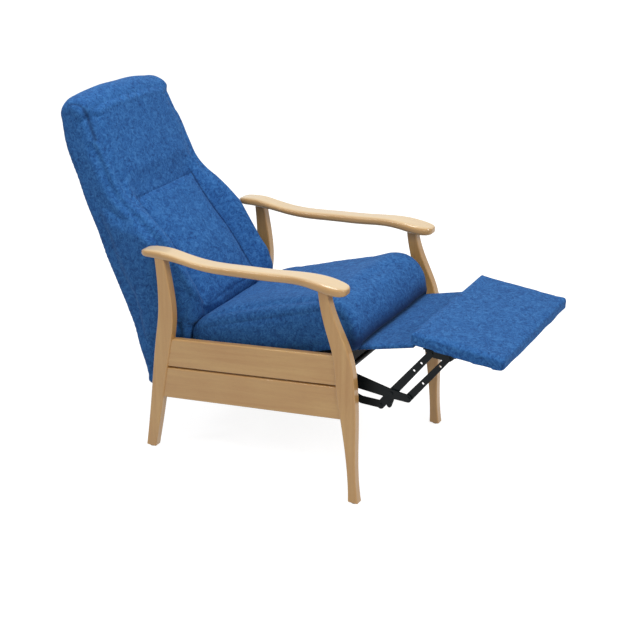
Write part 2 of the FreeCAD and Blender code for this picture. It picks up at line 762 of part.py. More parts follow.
def lumbarSlice(x, floor, thick):
    """Side outline of the lumbar pad: it lies on the channel's floor and swells forwards."""
    lean = math.radians(lumbarLean)
    forward = (-math.cos(lean), math.sin(lean))
    back = [moved(p, (forward[0] * softGap, forward[1] * softGap)) for p in floor]
    front = []
    count = len(floor) - 1
    for i, p in enumerate(floor):
        share = i / count
        swell = thick * (0.25 + 0.75 * math.sin(math.pi * min(1.0, 0.1 + 0.9 * share)) ** 0.6)
        front.append(moved(p, (forward[0] * swell, forward[1] * swell)))
    pts = back + [between(back[-1], front[-1], 0.5)] + front[::-1] + [between(front[0], back[0], 0.5)]
    return arcWire([at(x, p) for p in pts])


def pinWithHeads(x0, x1, centre, radius):
    """A rivet along X with a flat head at each end."""
    pin = rod(x0, x1, centre, radius)
    for x in (x0 - pinHead, x1):
        pin = pin.fuse(rod(x, x + pinHead, centre, radius + pinHeadRim))
    return pin.removeSplitter()


def buildFootrest():
    """The lifting linkage, the footrest pad and the flap."""
    controlKnee = moved(armKnee, controlKneeOffset)
    padTip = moved(padPivot, (armTip[0] - armKnee[0], armTip[1] - armKnee[1]))

    def kneeAt(share):
        knee = turned(armKnee, armFold * share, armPivot)
        return moved(knee, turned(controlKneeOffset, frontLinkFold * share))

    controlPivot = circleCentre(kneeAt(0.0), kneeAt(0.5), kneeAt(1.0))
    controlFold = directionTo(controlPivot, kneeAt(1.0)) - directionTo(controlPivot, kneeAt(0.0))
    worst = 0.0
    for i in range(21):
        pin = turned(kneeAt(0.0), controlFold * i / 20, controlPivot)
        worst = max(worst, math.dist(pin, kneeAt(i / 20)))
    print("open pivot misfit", round(worst, 3), "mm")

    inner0 = innerLinkX
    inner1 = innerLinkX + linkThickness
    outer0 = outerLinkX
    outer1 = outerLinkX + linkThickness
    control0 = controlLinkX
    control1 = controlLinkX + linkThickness
    plate0 = plateX
    plate1 = plateX + plateThickness

    # Mechanism plates under the seat
    web = polygonPlate([
        seatPoint(mechanismFront, -plateThickness), seatPoint(mechanismRear, -plateThickness),
        moved(controlPivot, (16, 4)), moved(controlPivot, (8, -13)), moved(controlPivot, (-9, -12)),
        moved(armPivot, (-18, -12)), moved(armPivot, (-22, 4)),
    ], plate0, plate1)
    flangeX = seatFrameHalfWidth - seatRailWidth + 8
    flange = slab(seatPoint, mechanismFront, mechanismRear, -plateThickness, 0, flangeX, plate1)
    web = web.fuse(flange).removeSplitter()
    web = web.cut(rod(plate0, plate1, armPivot, linkPinRadius))
    web = web.cut(rod(plate0, plate1, controlPivot, controlPinRadius))
    savePair("mechanism_plate", web)
    armPin = pinWithHeads(outer0, plate1, armPivot, linkPinRadius)
    controlPin = pinWithHeads(control0, plate1, controlPivot, controlPinRadius)
    pins = [armPin, controlPin]
    save("plate_rivets", Part.makeCompound(pins + [mirrored(p) for p in pins]))

    # Lifting arms, joined by a torque tube below their pivots
    tubeCentre = moved(between(armPivot, armKnee, torqueTubeShare), (0, -torqueTubeDrop))
    arm = linkBar([
        (armPivot, armPivotEnd), (armBelly, armBellyRadius), (armKnee, armKneeEnd), (armTip, armTipEnd),
    ], outer0, outer1)
    arm = arm.cut(rod(outer0, outer1, armPivot, linkPinRadius + runningFit))
    arm = arm.cut(rod(outer0, outer1, armKnee, linkPinRadius))
    arm = arm.cut(rod(outer0, outer1, armTip, linkPinRadius))
    savePair("lift_arm", arm)
    tube = rod(-outer0, outer0, tubeCentre, torqueTubeRadius)
    save("torque_tube", tube.cut(rod(-outer0, outer0, tubeCentre, torqueTubeRadius - torqueTubeWall)))
    kneePins = [
        pinWithHeads(inner0, outer1, armKnee, linkPinRadius),
        pinWithHeads(inner0, outer1, armTip, linkPinRadius),
    ]
    save("arm_rivets", Part.makeCompound(kneePins + [mirrored(p) for p in kneePins]))

    # Control links below the arms
    control = linkBar([
        (controlPivot, controlEnd), (controlBends[0], controlEnd), (controlBends[1], controlEnd),
        (controlKnee, controlEnd),
    ], control0, control1)
    control = control.cut(rod(control0, control1, controlPivot, controlPinRadius + runningFit))
    control = control.cut(rod(control0, control1, controlKnee, controlPinRadius + openPivotSlack))
    savePair("control_link", control)

    # Front links, with a stop lug below the knee, and the outer links beside them
    stopLug = moved(armKnee, stopLugOffset)
    front = linkBar([
        (controlKnee, controlEnd), (armKnee, frontKneeEnd), (padPivot, padPivotEnd),
    ], inner0, inner1)
    front = front.cut(rod(inner0, inner1, armKnee, linkPinRadius + runningFit))
    front = front.cut(rod(inner0, inner1, padPivot, linkPinRadius + runningFit))
    front = front.cut(rod(inner0, inner1, controlKnee, controlPinRadius))
    for share in frontLinkHoles:
        front = front.cut(rod(inner0, inner1, between(armKnee, padPivot, share), linkHoleRadius))
    savePair("front_link", front)
    lug = capsule(armKnee, controlEnd, stopLug, stopLugEnd, control0, inner0)
    savePair("stop_lug", lug.cut(rod(control0, inner0, armKnee, linkPinRadius + pinHeadRim + softGap)))
    controlKneePin = pinWithHeads(control0, inner1, controlKnee, controlPinRadius)
    save("front_link_rivets", Part.makeCompound([controlKneePin, mirrored(controlKneePin)]))
    outerLink = linkBar([(armTip, outerLinkEnd), (padTip, outerPadEnd)], inner0, inner1)
    outerLink = outerLink.cut(rod(inner0, inner1, armTip, linkPinRadius + runningFit))
    outerLink = outerLink.cut(rod(inner0, inner1, padTip, linkPinRadius + parallelPivotSlack))
    for share in outerLinkHoles:
        outerLink = outerLink.cut(rod(inner0, inner1, between(armTip, padTip, share), linkHoleRadius))
    savePair("outer_link", outerLink)

    # Brackets under the pad
    under = padThickness + padBracketThickness
    bracketX = padHalfWidth - padBracketInset
    flange = slab(padPoint, padBracketFrom, padBracketTo, padThickness, under, outer0, bracketX)
    ear = polygonPlate([
        padPoint(padBracketFrom + 2, under), padPoint(padBracketTo - 2, under), moved(padTip, (-10, -6)),
        moved(padTip, (-4, -10)), moved(padPivot, (6, -10)), moved(padPivot, (11, -4)),
    ], outer0, outer1)
    bracket = flange.fuse(ear).removeSplitter()
    bracket = bracket.cut(rod(outer0, outer1, padPivot, linkPinRadius))
    bracket = bracket.cut(rod(outer0, outer1, padTip, linkPinRadius))
    savePair("pad_bracket", bracket)
    padPins = [
        pinWithHeads(inner0, outer1, padPivot, linkPinRadius),
        pinWithHeads(inner0, outer1, padTip, linkPinRadius),
    ]
    save("pad_rivets", Part.makeCompound(padPins + [mirrored(p) for p in padPins]))

    # Pad: a board with a padded cover over its top and edges
    slices = []
    for share in (-1.0, -0.5, 0.0, 0.5, 1.0):
        crown = padCrown * (1 - share ** 2) + padEdgeCrown
        slices.append(padSlice(share * padHalfWidth, crown))
    cover = Part.makeLoft(slices, True, False)
    rim = [e for e in cover.Edges if onPadTop(e)]
    cover = cover.makeFillet(padEdgeRound, rim)
    boardX = padHalfWidth - padBoardInset
    board = slab(
        padPoint, padBoardInset, padLength - padBoardInset, padThickness - padBoardThickness, padThickness,
        -boardX, boardX)
    save("footrest_board", board)
    save("footrest_cushion", cover.cut(board))

    # Flap, hinged below the pad's inner edge
    flapX = flapHalfWidth
    low = flapRise - flapThickness
    end = flapStart + flapLength
    block = slab(flapPoint, flapStart, end, low, flapRise, -flapX, flapX)
    rounded = [e for e in block.Edges if e.BoundBox.XLength > flapX]
    block = block.makeFillet(flapEdgeRound, rounded)
    flapBoard = slab(
        flapPoint, flapStart + flapBoardInset, end - flapBoardInset, low, low + flapBoardThickness,
        -flapX + flapBoardInset, flapX - flapBoardInset)
    save("flap_board", flapBoard)
    barrelX = flapX - hingeInset
    leafLow = low + flapBoardThickness
    leaf = slab(
        flapPoint, hingeBarrelRadius - hingeClearance, hingeLeafWidth, leafLow, leafLow + hingeLeaf,
        -barrelX, barrelX)
    knucklePad = []
    knuckleFlap = []
    step = 2 * barrelX / hingeKnuckles
    for i in range(hingeKnuckles):
        x0 = -barrelX + i * step + hingeEndGap
        knuckle = rod(x0, x0 + step - 2 * hingeEndGap, flapHinge, hingeBarrelRadius)
        if i % 2 == 0:
            knucklePad.append(knuckle)
        else:
            knuckleFlap.append(knuckle)
    hole = rod(-flapX, flapX, flapHinge, hingePinRadius)
    runningHole = rod(-flapX, flapX, flapHinge, hingePinRadius + runningFit)
    leafFace = padThickness + hingeLeaf
    leafEnd = padThickness + padLeafDrop
    leafCorner = padLeafFrom + padLeafThickness
    padLeaf = slab(padPoint, padLeafFrom + 1, padLeafTo, padThickness, leafFace, -barrelX, barrelX)
    padLeaf = padLeaf.fuse(slab(
        padPoint, padLeafFrom, leafCorner, padThickness, leafEnd, -barrelX, barrelX))
    padLeaf = notched(padLeaf, knuckleFlap, hingeBarrelRadius + hingeClearance)
    padLeaf = padLeaf.cut(rod(-barrelX, barrelX, flapHinge, hingeBarrelRadius - 0.4))
    padLeaf = padLeaf.fuse(Part.makeCompound(knucklePad)).cut(hole)
    flapLeaf = notched(leaf, knucklePad, hingeBarrelRadius + hingeClearance)
    flapLeaf = flapLeaf.cut(rod(-barrelX, barrelX, flapHinge, hingeBarrelRadius - 0.4))
    flapLeaf = flapLeaf.fuse(Part.makeCompound(knuckleFlap)).cut(runningHole)
    save("flap_hinge_pad_leaf", padLeaf)
    save("flap_hinge_flap_leaf", flapLeaf)
    save("flap_hinge_pin", rod(-barrelX, barrelX, flapHinge, hingePinRadius))
    save("flap_cushion", block.cut(flapBoard).cut(leaf))

    joints = {
        "tiltPivot": tiltPivot, "armPivot": armPivot, "controlPivot": controlPivot, "armKnee": armKnee,
        "armTip": armTip, "padPivot": padPivot, "flapHinge": flapHinge,
        "controlFold": controlFold,
    }
    return joints


def notched(leaf, knuckles, clear):
    """A hinge leaf with room round the other leaf's knuckles."""
    for k in knuckles:
        box = k.BoundBox
        leaf = leaf.cut(rod(box.XMin - hingeEndGap, box.XMax + hingeEndGap, flapHinge, clear))
    return leaf


def padSlice(x, crown):
    """Side outline of the footrest pad at x, with its top raised by crown in the middle."""
    low = padThickness
    half = padLength / 2
    pts = [
        (0, low), (half, low), (padLength, low), (padLength, half / 10), (padLength, 0),
        (half, -crown), (0, 0), (0, half / 10),
    ]
    return arcWire([at(x, padPoint(t, h)) for t, h in pts])


def onPadTop(edge):
    """True for the four edges round the top of the footrest pad."""
    middle = edge.valueAt((edge.FirstParameter + edge.LastParameter) / 2)
    reach = (middle.y - padInnerEdge[0]) / -math.cos(padSlope)
    height = middle.z - padPoint(reach, 0)[1]
    return height > -3.0


def main():
    buildFrame()
    outline = buildSeat()
    buildBack(outline)
    joints = buildFootrest()
    box = Part.makeCompound(list(saved.values())).BoundBox
    print("box", [round(v, 2) for v in (box.XMin, box.YMin, box.ZMin, box.XMax, box.YMax, box.ZMax)])
    for name, shape in saved.items():
        if not shape.isValid():
            print("not valid:", name)
    print(len(saved), "sub-parts")
    return joints


joints = main()
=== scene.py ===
import json
import math

import bpy
import numpy as np
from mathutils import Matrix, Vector, noise

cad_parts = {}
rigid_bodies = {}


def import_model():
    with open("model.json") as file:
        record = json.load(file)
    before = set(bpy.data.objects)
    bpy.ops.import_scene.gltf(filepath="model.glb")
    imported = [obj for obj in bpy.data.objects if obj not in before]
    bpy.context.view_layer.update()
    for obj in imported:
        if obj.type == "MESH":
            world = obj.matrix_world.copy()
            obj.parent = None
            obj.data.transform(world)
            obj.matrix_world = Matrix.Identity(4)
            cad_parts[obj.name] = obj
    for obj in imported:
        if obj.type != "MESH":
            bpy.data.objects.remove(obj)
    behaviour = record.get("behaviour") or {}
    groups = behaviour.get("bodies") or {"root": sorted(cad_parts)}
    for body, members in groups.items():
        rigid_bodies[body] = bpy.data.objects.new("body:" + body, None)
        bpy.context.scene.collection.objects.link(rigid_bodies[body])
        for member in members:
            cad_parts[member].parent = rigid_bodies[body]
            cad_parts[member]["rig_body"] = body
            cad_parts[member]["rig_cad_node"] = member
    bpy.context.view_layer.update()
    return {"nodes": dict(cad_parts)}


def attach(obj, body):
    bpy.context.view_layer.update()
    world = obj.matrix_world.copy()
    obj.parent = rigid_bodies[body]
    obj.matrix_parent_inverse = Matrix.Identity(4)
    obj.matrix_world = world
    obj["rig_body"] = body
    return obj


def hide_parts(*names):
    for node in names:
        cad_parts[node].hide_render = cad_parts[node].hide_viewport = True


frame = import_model()
cadNodes = frame["nodes"]
millimetre = 0.001
print("frame loaded,", len(cadNodes), "nodes")


# Small helpers

def linear(hexColour):
    values = []
    for start in (0, 2, 4):
        share = int(hexColour[start:start + 2], 16) / 255
        values.append(share / 12.92 if share <= 0.04045 else ((share + 0.055) / 1.055) ** 2.4)
    return (*values, 1.0)


def addNode(tree, kind, inputs=None, **settings):
    node = tree.nodes.new(kind)
    for key, value in settings.items():
        setattr(node, key, value)
    for socket, value in (inputs or {}).items():
        if isinstance(value, bpy.types.NodeSocket):
            tree.links.new(value, node.inputs[socket])
        else:
            node.inputs[socket].default_value = value
    return node


def newMaterial(name):
    made = bpy.data.materials.new(name)
    made.use_nodes = True
    tree = made.node_tree
    shader = tree.nodes["Principled BSDF"]
    place = addNode(tree, "ShaderNodeTexCoord").outputs["Object"]
    return made, tree, shader, place


def grey(value):
    return (value, value, value, 1)


def ramp(tree, factor, stops):
    node = addNode(tree, "ShaderNodeValToRGB", {"Fac": factor})
    elements = node.color_ramp.elements
    while len(elements) < len(stops):
        elements.new(0.5)
    for element, (position, colour) in zip(elements, stops):
        element.position = position
        element.color = colour
    return node.outputs["Color"]


def blended(tree, share, first, second):
    return addNode(tree, "ShaderNodeMix", {0: share, 6: first, 7: second}, data_type="RGBA").outputs[2]


def selectOnly(*objects):
    bpy.ops.object.select_all(action="DESELECT")
    for each in objects:
        each.select_set(True)
    bpy.context.view_layer.objects.active = objects[0]


def applyAll(piece):
    selectOnly(piece)
    for modifier in list(piece.modifiers):
        bpy.ops.object.modifier_apply(modifier=modifier.name)


def coordinates(piece):
    flat = np.empty(len(piece.data.vertices) * 3)
    piece.data.vertices.foreach_get("co", flat)
    return flat.reshape(-1, 3)


def setCoordinates(piece, points):
    piece.data.vertices.foreach_set("co", np.asarray(points, dtype=float).ravel())
    piece.data.update()


def vertexNormals(piece):
    flat = np.empty(len(piece.data.vertices) * 3)
    piece.data.vertices.foreach_get("normal", flat)
    return flat.reshape(-1, 3)


# Materials

beechLook = {
    "late": "BB8B52", "early": "CAA064", "fleck": "A97B46", "pore": "AB7D47", "paintedTopLightTone": "F3E2BE",
    "ringWidth": 14.0, "poreWidth": 1.0, "fleckLength": 1.6, "patchSize": 150.0,
    "grainStretch": 0.045, "fleckStretch": 0.22, "roughness": 0.34, "lacquer": 0.6,
}


def lacqueredBeech(name, grainAxis, slope=0.0, late=beechLook["late"], early=beechLook["early"],
                   paintedTopLight=0.0):
    # Pale, straight-grained beech under clear satin lacquer: faint bands, fine pores and short ray flecks.
    # Faces that look up can be given a painted highlight: they are mixed toward a pale tone, as light from
    # above would make them.
    made, tree, shader, place = newMaterial(name)
    look = beechLook
    turn = (math.radians(slope), 0, 0)
    place = addNode(tree, "ShaderNodeMapping", {"Vector": place, "Rotation": turn}).outputs["Vector"]
    stretch = [1.0, 1.0, 1.0]
    stretch[grainAxis] = look["grainStretch"]
    along = addNode(tree, "ShaderNodeMapping", {"Vector": place, "Scale": stretch}).outputs["Vector"]
    bands = addNode(tree, "ShaderNodeTexNoise", {
        "Vector": along, "Scale": 1 / (look["ringWidth"] * millimetre), "Detail": 2.0, "Roughness": 0.5,
        "Distortion": 0.3})
    pores = addNode(tree, "ShaderNodeTexNoise", {
        "Vector": along, "Scale": 1 / (look["poreWidth"] * millimetre), "Detail": 2.0, "Roughness": 0.55})
    patch = addNode(tree, "ShaderNodeTexNoise", {
        "Vector": place, "Scale": 1 / (look["patchSize"] * millimetre), "Detail": 1.0})
    squeeze = [1.0, 1.0, 1.0]
    squeeze[grainAxis] = look["fleckStretch"]
    dashes = addNode(tree, "ShaderNodeMapping", {"Vector": place, "Scale": squeeze}).outputs["Vector"]
    flecks = addNode(tree, "ShaderNodeTexVoronoi", {
        "Vector": dashes, "Scale": 1 / (look["fleckLength"] * millimetre), "Randomness": 1.0})
    tone = addNode(tree, "ShaderNodeMath", {
        0: patch.outputs["Fac"], 1: 0.45, 2: bands.outputs["Fac"]}, operation="MULTIPLY_ADD").outputs[0]
    wood = ramp(tree, tone, [(0.42, linear(late)), (0.98, linear(early))])
    poreMask = ramp(tree, pores.outputs["Fac"], [(0.30, grey(0.30)), (0.52, grey(0))])
    wood = blended(tree, poreMask, wood, linear(look["pore"]))
    fleckMask = ramp(tree, flecks.outputs["Distance"], [(0.08, grey(0.25)), (0.20, grey(0))])
    wood = blended(tree, fleckMask, wood, linear(look["fleck"]))
    # Painted highlight: the faces that look up are mixed toward a pale tone
    if paintedTopLight > 0:
        facing = addNode(tree, "ShaderNodeTexCoord").outputs["Normal"]
        upward = addNode(tree, "ShaderNodeSeparateXYZ", {"Vector": facing}).outputs["Z"]
        paintedTopLightMask = ramp(tree, upward, [(0.55, grey(0)), (0.96, grey(paintedTopLight))])
        wood = blended(tree, paintedTopLightMask, wood, linear(look["paintedTopLightTone"]))
    bump = addNode(tree, "ShaderNodeBump", {
        "Height": pores.outputs["Fac"], "Strength": 0.1, "Distance": 0.0002})
    tree.links.new(wood, shader.inputs["Base Color"])
    tree.links.new(bump.outputs["Normal"], shader.inputs["Normal"])
    shader.inputs["Roughness"].default_value = look["roughness"]
    shader.inputs["Coat Weight"].default_value = look["lacquer"]
    shader.inputs["Coat Roughness"].default_value = 0.1
    shader.inputs["Specular IOR Level"].default_value = 0.3
    shader.inputs["IOR"].default_value = 1.52
    return made


# The darkest blue is painted shade, laid into creases, seams and under folds through the crease mark
microfibreLook = {
    "deep": "1D4A86", "base": "2B61A0", "pale": "3D75B2", "vein": "133468", "creaseShadeColour": "0D1F44",
    "leaf": 17.0, "veinSpacing": 15.0, "nap": 1.8, "sheen": 0.15,
}


def blueMicrofibre(name):
    # Suede-like polyester microfibre: its nap lies both ways, so it mottles in soft leaves with fine dark
    # veins
    made, tree, shader, place = newMaterial(name)
    look = microfibreLook
    leaves = addNode(tree, "ShaderNodeTexNoise", {
        "Vector": place, "Scale": 1 / (look["leaf"] * millimetre), "Detail": 6.0, "Roughness": 0.66,
        "Distortion": 1.6}).outputs["Fac"]
    curls = addNode(tree, "ShaderNodeTexNoise", {
        "Vector": place, "Scale": 1 / (look["veinSpacing"] * millimetre), "Detail": 2.0, "Roughness": 0.5,
        "Distortion": 2.2}).outputs["Fac"]
    nap = addNode(tree, "ShaderNodeTexNoise", {
        "Vector": place, "Scale": 1 / (look["nap"] * millimetre), "Detail": 2.0,
        "Roughness": 0.6}).outputs["Fac"]
    offCentre = addNode(tree, "ShaderNodeMath", {0: curls, 1: 0.5}, operation="SUBTRACT").outputs[0]
    offCentre = addNode(tree, "ShaderNodeMath", {0: offCentre}, operation="ABSOLUTE").outputs[0]
    veins = ramp(tree, offCentre, [(0.0, grey(0.85)), (0.06, grey(0))])
    shade = ramp(tree, leaves, [(0.42, grey(1)), (0.60, grey(0.1))])
    veins = addNode(tree, "ShaderNodeMath", {0: veins, 1: shade}, operation="MULTIPLY").outputs[0]
    grain = addNode(tree, "ShaderNodeMath", {
        0: nap, 1: 0.16, 2: leaves}, operation="MULTIPLY_ADD").outputs[0]
    colour = ramp(tree, grain, [
        (0.40, linear(look["deep"])), (0.57, linear(look["base"])), (0.76, linear(look["pale"]))])
    colour = blended(tree, veins, colour, linear(look["vein"]))
    # Painted shade: where the surface is marked as creased, the colour is darkened toward a deep blue
    paintedCreaseShade = addNode(tree, "ShaderNodeAttribute", attribute_name="paintedCreaseShade").outputs["Fac"]
    colour = blended(tree, paintedCreaseShade, colour, linear(look["creaseShadeColour"]))
    bump = addNode(tree, "ShaderNodeBump", {"Height": grain, "Strength": 0.3, "Distance": 0.0008})
    tree.links.new(colour, shader.inputs["Base Color"])
    tree.links.new(bump.outputs["Normal"], shader.inputs["Normal"])
    shader.inputs["Roughness"].default_value = 0.85
    shader.inputs["Sheen Weight"].default_value = look["sheen"]
    shader.inputs["Sheen Roughness"].default_value = 0.5
    shader.inputs["Sheen Tint"].default_value = linear("8FB4E2")
    shader.inputs["Specular IOR Level"].default_value = 0.2
    return made


def powderCoat(name):
    # Black polyester powder coat on steel: satin, with the faint orange peel of a baked coat
    made, tree, shader, place = newMaterial(name)
    peel = addNode(tree, "ShaderNodeTexNoise", {
        "Vector": place, "Scale": 1 / (1.8 * millimetre), "Detail": 2.0})
    tone = ramp(tree, peel.outputs["Fac"], [(0.3, linear("070C0E")), (0.7, linear("0E1518"))])
    bump = addNode(tree, "ShaderNodeBump", {
        "Height": peel.outputs["Fac"], "Strength": 0.2, "Distance": 0.0002})
    tree.links.new(tone, shader.inputs["Base Color"])
    tree.links.new(bump.outputs["Normal"], shader.inputs["Normal"])
    shader.inputs["Roughness"].default_value = 0.42
    shader.inputs["Specular IOR Level"].default_value = 0.16
    return made


def zincSteel(name):
    # Bright zinc-plated steel of rivets and pins, turned, with a fine uneven bloom
    made, tree, shader, place = newMaterial(name)
    bloom = addNode(tree, "ShaderNodeTexNoise", {
        "Vector": place, "Scale": 1 / (2.5 * millimetre), "Detail": 3.0})
    tone = ramp(tree, bloom.outputs["Fac"], [(0.3, linear("A9ADB0")), (0.7, linear("CDD1D4"))])
    rough = addNode(tree, "ShaderNodeMapRange", {
        "Value": bloom.outputs["Fac"], "To Min": 0.24, "To Max": 0.42}).outputs["Result"]
    tree.links.new(tone, shader.inputs["Base Color"])
    tree.links.new(rough, shader.inputs["Roughness"])
    shader.inputs["Metallic"].default_value = 1.0
    return made


def planedTimber(name, light, dark):
    # Unfinished frame timber or plywood, planed, dry and matt
    made, tree, shader, place = newMaterial(name)
    grainStretch = (0.15, 1.0, 1.0)
    along = addNode(tree, "ShaderNodeMapping", {"Vector": place, "Scale": grainStretch}).outputs["Vector"]
    grain = addNode(tree, "ShaderNodeTexNoise", {
        "Vector": along, "Scale": 1 / (4 * millimetre), "Detail": 4.0, "Roughness": 0.6})
    tone = ramp(tree, grain.outputs["Fac"], [(0.35, linear(dark)), (0.65, linear(light))])
    bump = addNode(tree, "ShaderNodeBump", {
        "Height": grain.outputs["Fac"], "Strength": 0.2, "Distance": 0.0004})
    tree.links.new(tone, shader.inputs["Base Color"])
    tree.links.new(bump.outputs["Normal"], shader.inputs["Normal"])
    shader.inputs["Roughness"].default_value = 0.7
    return made


def wovenLining(name):
    # Black lining cloth: a plain weave, drawn with threads 1.6 mm apart so that it shows
    made, tree, shader, place = newMaterial(name)
    threads = 1 / (1.6 * millimetre)
    waves = {"Vector": place, "Scale": threads / 3}
    across = addNode(tree, "ShaderNodeTexWave", waves, bands_direction="X")
    lengthways = addNode(tree, "ShaderNodeTexWave", waves, bands_direction="Y")
    weave = addNode(tree, "ShaderNodeMath", {
        0: across.outputs["Fac"], 1: lengthways.outputs["Fac"]}, operation="MAXIMUM").outputs[0]
    tone = ramp(tree, weave, [(0.2, linear("0B0D0F")), (0.9, linear("1D2124"))])
    bump = addNode(tree, "ShaderNodeBump", {"Height": weave, "Strength": 0.3, "Distance": 0.0004})
    tree.links.new(tone, shader.inputs["Base Color"])
    tree.links.new(bump.outputs["Normal"], shader.inputs["Normal"])
    shader.inputs["Roughness"].default_value = 0.9
    return made


def mouldedPlastic(name, light, dark, roughness):
    # Moulded polyethylene or rubber with a fine tool grain
    made, tree, shader, place = newMaterial(name)
    grain = addNode(tree, "ShaderNodeTexNoise", {
        "Vector": place, "Scale": 1 / (0.9 * millimetre), "Detail": 2.0})
    tone = ramp(tree, grain.outputs["Fac"], [(0.3, linear(dark)), (0.7, linear(light))])
    bump = addNode(tree, "ShaderNodeBump", {
        "Height": grain.outputs["Fac"], "Strength": 0.2, "Distance": 0.0002})
    tree.links.new(tone, shader.inputs["Base Color"])
    tree.links.new(bump.outputs["Normal"], shader.inputs["Normal"])
    shader.inputs["Roughness"].default_value = roughness
    return made


beechUpright = lacqueredBeech("lacqueredBeechUpright", 2)
# The armrests' beech carries a painted highlight on its upward faces
beechArmPaintedTopLight = lacqueredBeech("lacqueredBeechArmPaintedTopLight", 1, late="B98D56", early="C9A26B", paintedTopLight=0.5)
beechSloping = lacqueredBeech("lacqueredBeechSloping", 1, slope=7.3)
beechAcross = lacqueredBeech("lacqueredBeechAcross", 0)
microfibre = blueMicrofibre("blueSuedeMicrofibre")
blackSteel = powderCoat("blackPowderCoatedSteel")
rivetSteel = zincSteel("zincPlatedSteel")
frameTimber = planedTimber("planedFrameTimber", "CFAE7C", "B48F5C")
plywood = planedTimber("sandedPlywood", "C6A26E", "A5804F")
liningCloth = wovenLining("blackLiningCloth")
glidePlastic = mouldedPlastic("mouldedGlidePlastic", "A39A8E", "857C70", 0.55)
bufferRubber = mouldedPlastic("mouldedRubber", "262626", "161616", 0.75)

finishOf = {
    "front_leg": beechUpright, "rear_leg": beechUpright, "armrest": beechArmPaintedTopLight,
    "upper_side_rail": beechSloping, "lower_side_rail": beechSloping,
    "front_cross_rail": beechAcross, "rear_cross_rail": beechAcross,
    "frame_dowels": frameTimber, "seat_side_rail": frameTimber, "seat_cross_rails": frameTimber,
    "back_post": frameTimber, "back_cross_rails": frameTimber,
    "footrest_board": plywood, "flap_board": plywood,
    "seat_webbing": liningCloth, "seat_dust_cover": liningCloth, "front_apron": liningCloth,
    "floor_glides": glidePlastic, "stop_buffers": bufferRubber, "tilt_pins": rivetSteel,
    "flap_hinge_pin": rivetSteel, "back_rear_panel": microfibre,
    "seat_cushion": microfibre, "back_cushion": microfibre, "lumbar_cushion": microfibre,
    "footrest_cushion": microfibre, "flap_cushion": microfibre,
}
for nodeName, node in cadNodes.items():
    family = nodeName.removesuffix("_left").removesuffix("_right")
    finish = finishOf.get(family, blackSteel)
    node.data.materials.clear()
    node.data.materials.append(finish)
print("materials made")


# Soft goods

clothFrames = 20
frameShift = 49.5


def sidePoint(x, y, z):
    # A point given in millimetres from the middle of the feet, as the side outlines are
    return (x * millimetre, (y + frameShift) * millimetre, z * millimetre)


def mergedCopy(name, *nodeNames):
    copies = []
    for nodeName in nodeNames:
        copied = cadNodes[nodeName].copy()
        copied.data = cadNodes[nodeName].data.copy()
        copied.parent = None
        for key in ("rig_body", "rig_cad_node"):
            del copied[key]
        bpy.context.scene.collection.objects.link(copied)
        copies.append(copied)
    selectOnly(*copies)
    if len(copies) > 1:
        bpy.ops.object.join()
    piece = bpy.context.object
    piece.name = name
    bpy.ops.object.mode_set(mode="EDIT")
    bpy.ops.mesh.select_all(action="SELECT")
    bpy.ops.mesh.remove_doubles(threshold=0.00002)
    bpy.ops.object.mode_set(mode="OBJECT")
    return piece


def remeshed(piece, voxel):
    voxels = piece.modifiers.new("voxels", "REMESH")
    voxels.mode = "VOXEL"
    voxels.voxel_size = voxel
    even = piece.modifiers.new("even", "SMOOTH")
    even.factor = 0.5
    even.iterations = 2
    applyAll(piece)


def puffed(piece, look):
    # The cover is drawn in a little and blown up by pressure. It may rise as far as the cap, but its seams
    # hold their place, so it sinks no more than the give. The wadding is added evenly all round.
    rest = coordinates(piece)
    outward = vertexNormals(piece)
    setCoordinates(piece, rest - outward * look["drawnIn"])
    cloth = piece.modifiers.new("cloth", "CLOTH")
    cloth.settings.quality = 4
    cloth.settings.mass = 0.3
    cloth.settings.tension_stiffness = look["stiffness"]
    cloth.settings.compression_stiffness = look["stiffness"]
    cloth.settings.use_pressure = True
    cloth.settings.uniform_pressure_force = look["pressure"]
    cloth.settings.effector_weights.gravity = 0
    cloth.collision_settings.use_collision = False
    cloth.point_cache.frame_start = 1
    cloth.point_cache.frame_end = clothFrames
    for step in range(1, clothFrames + 1):
        bpy.context.scene.frame_set(step)
    applyAll(piece)
    shift = coordinates(piece) - rest
    rise = np.sum(shift * outward, axis=1)
    shift += outward * (np.maximum(rise, -look["give"]) - rise)[:, None]
    length = np.linalg.norm(shift, axis=1)
    share = np.minimum(1.0, look["cap"] / np.maximum(length, 1e-9))
    setCoordinates(piece, rest + shift * share[:, None])
    bpy.context.scene.frame_set(1)
    setCoordinates(piece, coordinates(piece) + vertexNormals(piece) * look["wadding"])
    finer = piece.modifiers.new("finer", "SUBSURF")
    finer.levels = 1
    finer.render_levels = 1
    applyAll(piece)


def distanceToRoute(points, route):
    nearest = np.full(len(points), 1e9)
    travelled = np.zeros(len(points))
    passed = 0.0
    for a, b in zip(route, route[1:]):
        a = np.array(a)
        run = np.array(b) - a
        length = np.linalg.norm(run)
        share = np.clip((points - a) @ run / length ** 2, 0, 1)
        gap = np.linalg.norm(points - a - share[:, None] * run, axis=1)
        closer = gap < nearest
        nearest = np.where(closer, gap, nearest)
        travelled = np.where(closer, passed + share * length, travelled)
        passed += length
    return nearest, travelled, passed


def laidOn(points, route, step=0.007):
    # The route in short steps, each on the nearest point of the surface, evened out twice
    laid = []
    for a, b in zip(route, route[1:]):
        a, b = np.array(a), np.array(b)
        count = max(1, int(np.linalg.norm(b - a) / step))
        laid += [a + (b - a) * i / count for i in range(count)]
    laid.append(np.array(route[-1]))
    laid = np.array([points[np.argmin(np.sum((points - p) ** 2, axis=1))] for p in laid])
    for _ in range(2):
        laid[1:-1] = (laid[:-2] + 2 * laid[1:-1] + laid[2:]) / 4
    return [p for i, p in enumerate(laid) if i == 0 or np.linalg.norm(p - laid[i - 1]) > 1e-5]


